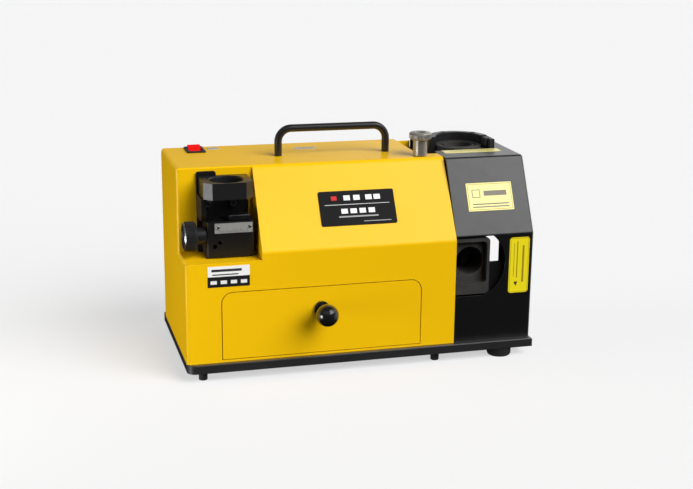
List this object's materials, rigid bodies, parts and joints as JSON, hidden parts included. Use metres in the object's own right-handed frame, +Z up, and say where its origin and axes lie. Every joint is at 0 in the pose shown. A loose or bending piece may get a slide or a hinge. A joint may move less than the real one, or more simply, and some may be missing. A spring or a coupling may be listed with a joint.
{
  "type": "bench cutter grinder",
  "caption": "Bench grinder for cutter tips: sheet housing with sloping front, drawer, carry handle, guarded wheel with ports and a corner setting fixture.",
  "frame": {"origin": "bottom centre of the whole machine's box, on the surface it stands on", "axes": "+Z up, +X towards the wheel guard at the machine's right, -Y out of the drawer front towards the user"},
  "size_m": [0.372, 0.2164, 0.2437],
  "materials": {
    "abrasive": "diamond grit bond",
    "black_anodised": "black anodised, polished edges",
    "black_ball": "polished phenolic ball",
    "black_cast": "painted casting, satin",
    "black_knurl": "black, straight knurl",
    "black_paint": "satin black enamel",
    "black_plastic": "moulded, satin",
    "black_powder": "satin black",
    "black_rubber": "moulded rubber",
    "black_steel": "black oxide",
    "brass": "turned brass",
    "bright_steel": "ground steel",
    "cast_aluminium": "die cast",
    "copper": "lacquered winding",
    "dark_cast": "painted casting, satin",
    "dark_metal": "blued machined steel",
    "grey_plastic": "moulded",
    "knurled_steel": "nickel plated, knurled head",
    "label_film": null,
    "lamination": "stacked sheet steel",
    "motor_grey": "painted steel can",
    "plate_aluminium": "stamped plate",
    "plate_black": null,
    "red_plastic": "glossy translucent red",
    "white_plastic": "moulded",
    "yellow_paint": "semi-gloss powder coat",
    "zinc_steel": "zinc plated"
  },
  "bodies": {
    "machine": {"base_plate": "dark_cast", "feet": "black_rubber", "base_screws": "black_steel", "body_shell": "yellow_paint", "rear_panel": "black_paint", "cover_screws": "zinc_steel", "wheel_guard": "black_paint", "guard_side": "black_paint", "guard_top": "black_paint", "port_bracket": "black_cast", "port_deck": "black_cast", "port_step": "black_cast", "frame_bolts": "black_steel", "bulkhead": "cast_aluminium", "front_port_block": "dark_metal", "socket_screws": "black_steel", "top_port_block": "dark_metal", "top_port_collar": "black_cast", "stop_post": "black_steel", "adjuster_bush": "brass", "adjuster_guide": "zinc_steel", "carry_handle": "black_powder", "handle_screws": "zinc_steel", "switch_housing": "black_plastic", "power_inlet": "black_plastic", "electrics_shelf": "zinc_steel", "capacitor": "grey_plastic", "motor_can": "motor_grey", "front_bell": "cast_aluminium", "rear_bell": "cast_aluminium", "motor_bolts": "zinc_steel", "stator_core": "lamination", "stator_windings": "copper", "motor_bearings": "bright_steel", "drawer_rails": "white_plastic", "setting_bracket": "black_cast", "setting_ring": "black_anodised", "setting_block": "black_cast", "scale_plate": "plate_aluminium", "plate_rivets": "bright_steel", "name_plate": "plate_black", "stickers": "label_film"},
    "drawer": {"drawer_tray": "zinc_steel", "drawer_front": "yellow_paint", "drawer_knob": "black_ball", "drawer_knob_screw": "zinc_steel"},
    "switch_rocker": {"rocker": "red_plastic"},
    "adjuster": {"adjuster_screw": "knurled_steel"},
    "adjuster_nut": {"adjuster_nut": "brass"},
    "setting_dial": {"setting_dial": "black_knurl", "setting_screw": "bright_steel"},
    "setting_stop": {"setting_slide": "dark_metal"},
    "rotor": {"motor_shaft": "bright_steel", "rotor_core": "lamination", "cooling_fan": "grey_plastic", "bearing_inner_races": "bright_steel", "wheel_hub": "zinc_steel", "wheel_body": "cast_aluminium", "abrasive_rim": "abrasive", "wheel_screw": "black_steel"}
  },
  "joints": [
    {"name": "drawer_slide", "type": "slide", "parent": "machine", "child": "drawer", "axis": [0, -1, 0], "range_m": [0, 0.115]},
    {"name": "rocker_tilt", "type": "hinge", "parent": "machine", "child": "switch_rocker", "pos_m": [-0.1526, 0.06925, 0.2077], "axis": [-1, 0, 0], "range_deg": [0, 22]},
    {"name": "adjuster_turn", "type": "hinge", "parent": "machine", "child": "adjuster", "pos_m": [0.0754, -0.01175, 0.211], "axis": [0, 0, 1], "range_deg": [-1080, 1080]},
    {"name": "adjuster_nut_travel", "type": "slide", "parent": "machine", "child": "adjuster_nut", "axis": [0, 0, 1], "range_m": [-0.00305, 0.00305]},
    {"name": "setting_dial_turn", "type": "hinge", "parent": "machine", "child": "setting_dial", "pos_m": [-0.178, -0.04775, 0.1465], "axis": [1, 0, 0], "range_deg": [-1080, 1080]},
    {"name": "setting_stop_travel", "type": "slide", "parent": "machine", "child": "setting_stop", "axis": [1, 0, 0], "range_m": [-0.0061, 0.0061]},
    {"name": "wheel_spin", "type": "hinge", "parent": "machine", "child": "rotor", "pos_m": [0.064, 0.04125, 0.113], "axis": [1, 0, 0], "continuous": true}
  ],
  "couplings": [
    {"joint": "adjuster_nut_travel", "follows": "adjuster_turn", "m_per_rad": -0.00015915},
    {"joint": "setting_stop_travel", "follows": "setting_dial_turn", "m_per_rad": -0.00031831}
  ]
}
